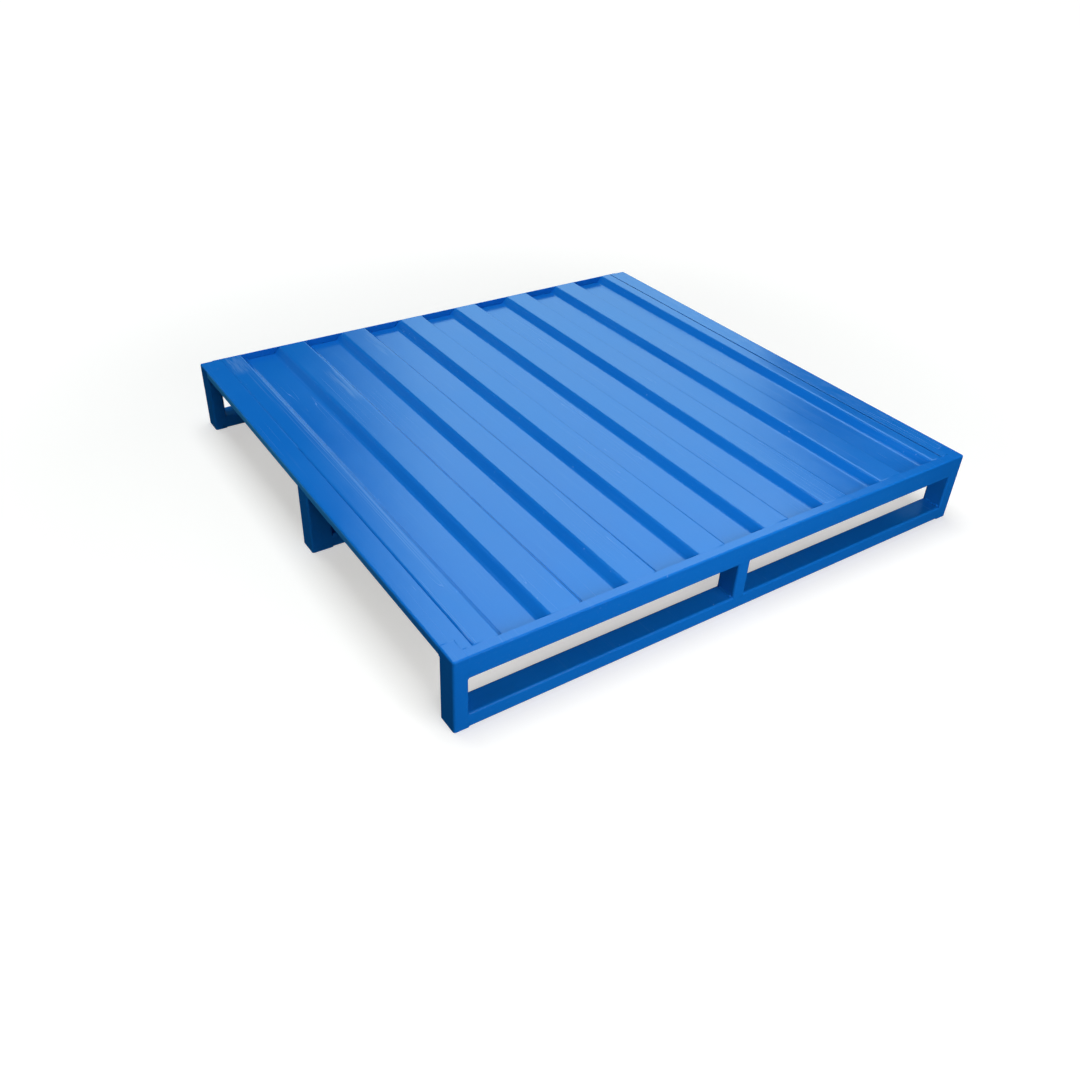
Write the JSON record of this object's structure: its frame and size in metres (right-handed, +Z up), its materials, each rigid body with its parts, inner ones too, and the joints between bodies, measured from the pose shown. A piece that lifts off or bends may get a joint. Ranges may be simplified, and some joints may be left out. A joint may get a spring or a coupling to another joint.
{
  "type": "pallet",
  "caption": "Four-way entry steel pallet: ribbed sheet deck edged with folded channel on ladder-frame runners of square-cut tube, with low fork windows.",
  "frame": {"origin": "on the floor, at the centre of the pallet's outline", "axes": "+Z up; X along the flanged front edge and the runners; Y from the front to the rear, along the deck's ridges"},
  "size_m": [1.2, 1.15, 0.15],
  "materials": {
    "deck_paint": "gloss blue enamel on folded steel sheet",
    "frame_paint": "gloss blue enamel on steel channel and tube",
    "plate_paint": "gloss blue enamel on cut steel plate"
  },
  "bodies": {
    "root": {"deck_sheet": "deck_paint", "left_side_rail": "deck_paint", "right_side_rail": "deck_paint", "front_edge_channel": "frame_paint", "rear_edge_channel": "frame_paint", "middle_top_tube": "frame_paint", "front_bottom_tube": "frame_paint", "front_left_post": "frame_paint", "front_centre_post": "frame_paint", "front_right_post": "frame_paint", "front_left_foot_plate": "plate_paint", "front_right_foot_plate": "plate_paint", "middle_bottom_tube": "frame_paint", "middle_left_post": "frame_paint", "middle_centre_post": "frame_paint", "middle_right_post": "frame_paint", "middle_left_foot_plate": "plate_paint", "middle_right_foot_plate": "plate_paint", "rear_bottom_tube": "frame_paint", "rear_left_post": "frame_paint", "rear_centre_post": "frame_paint", "rear_right_post": "frame_paint", "rear_left_foot_plate": "plate_paint", "rear_right_foot_plate": "plate_paint", "front_left_cap_plate": "plate_paint", "front_right_cap_plate": "plate_paint", "rear_left_cap_plate": "plate_paint", "rear_right_cap_plate": "plate_paint"}
  },
  "joints": []
}
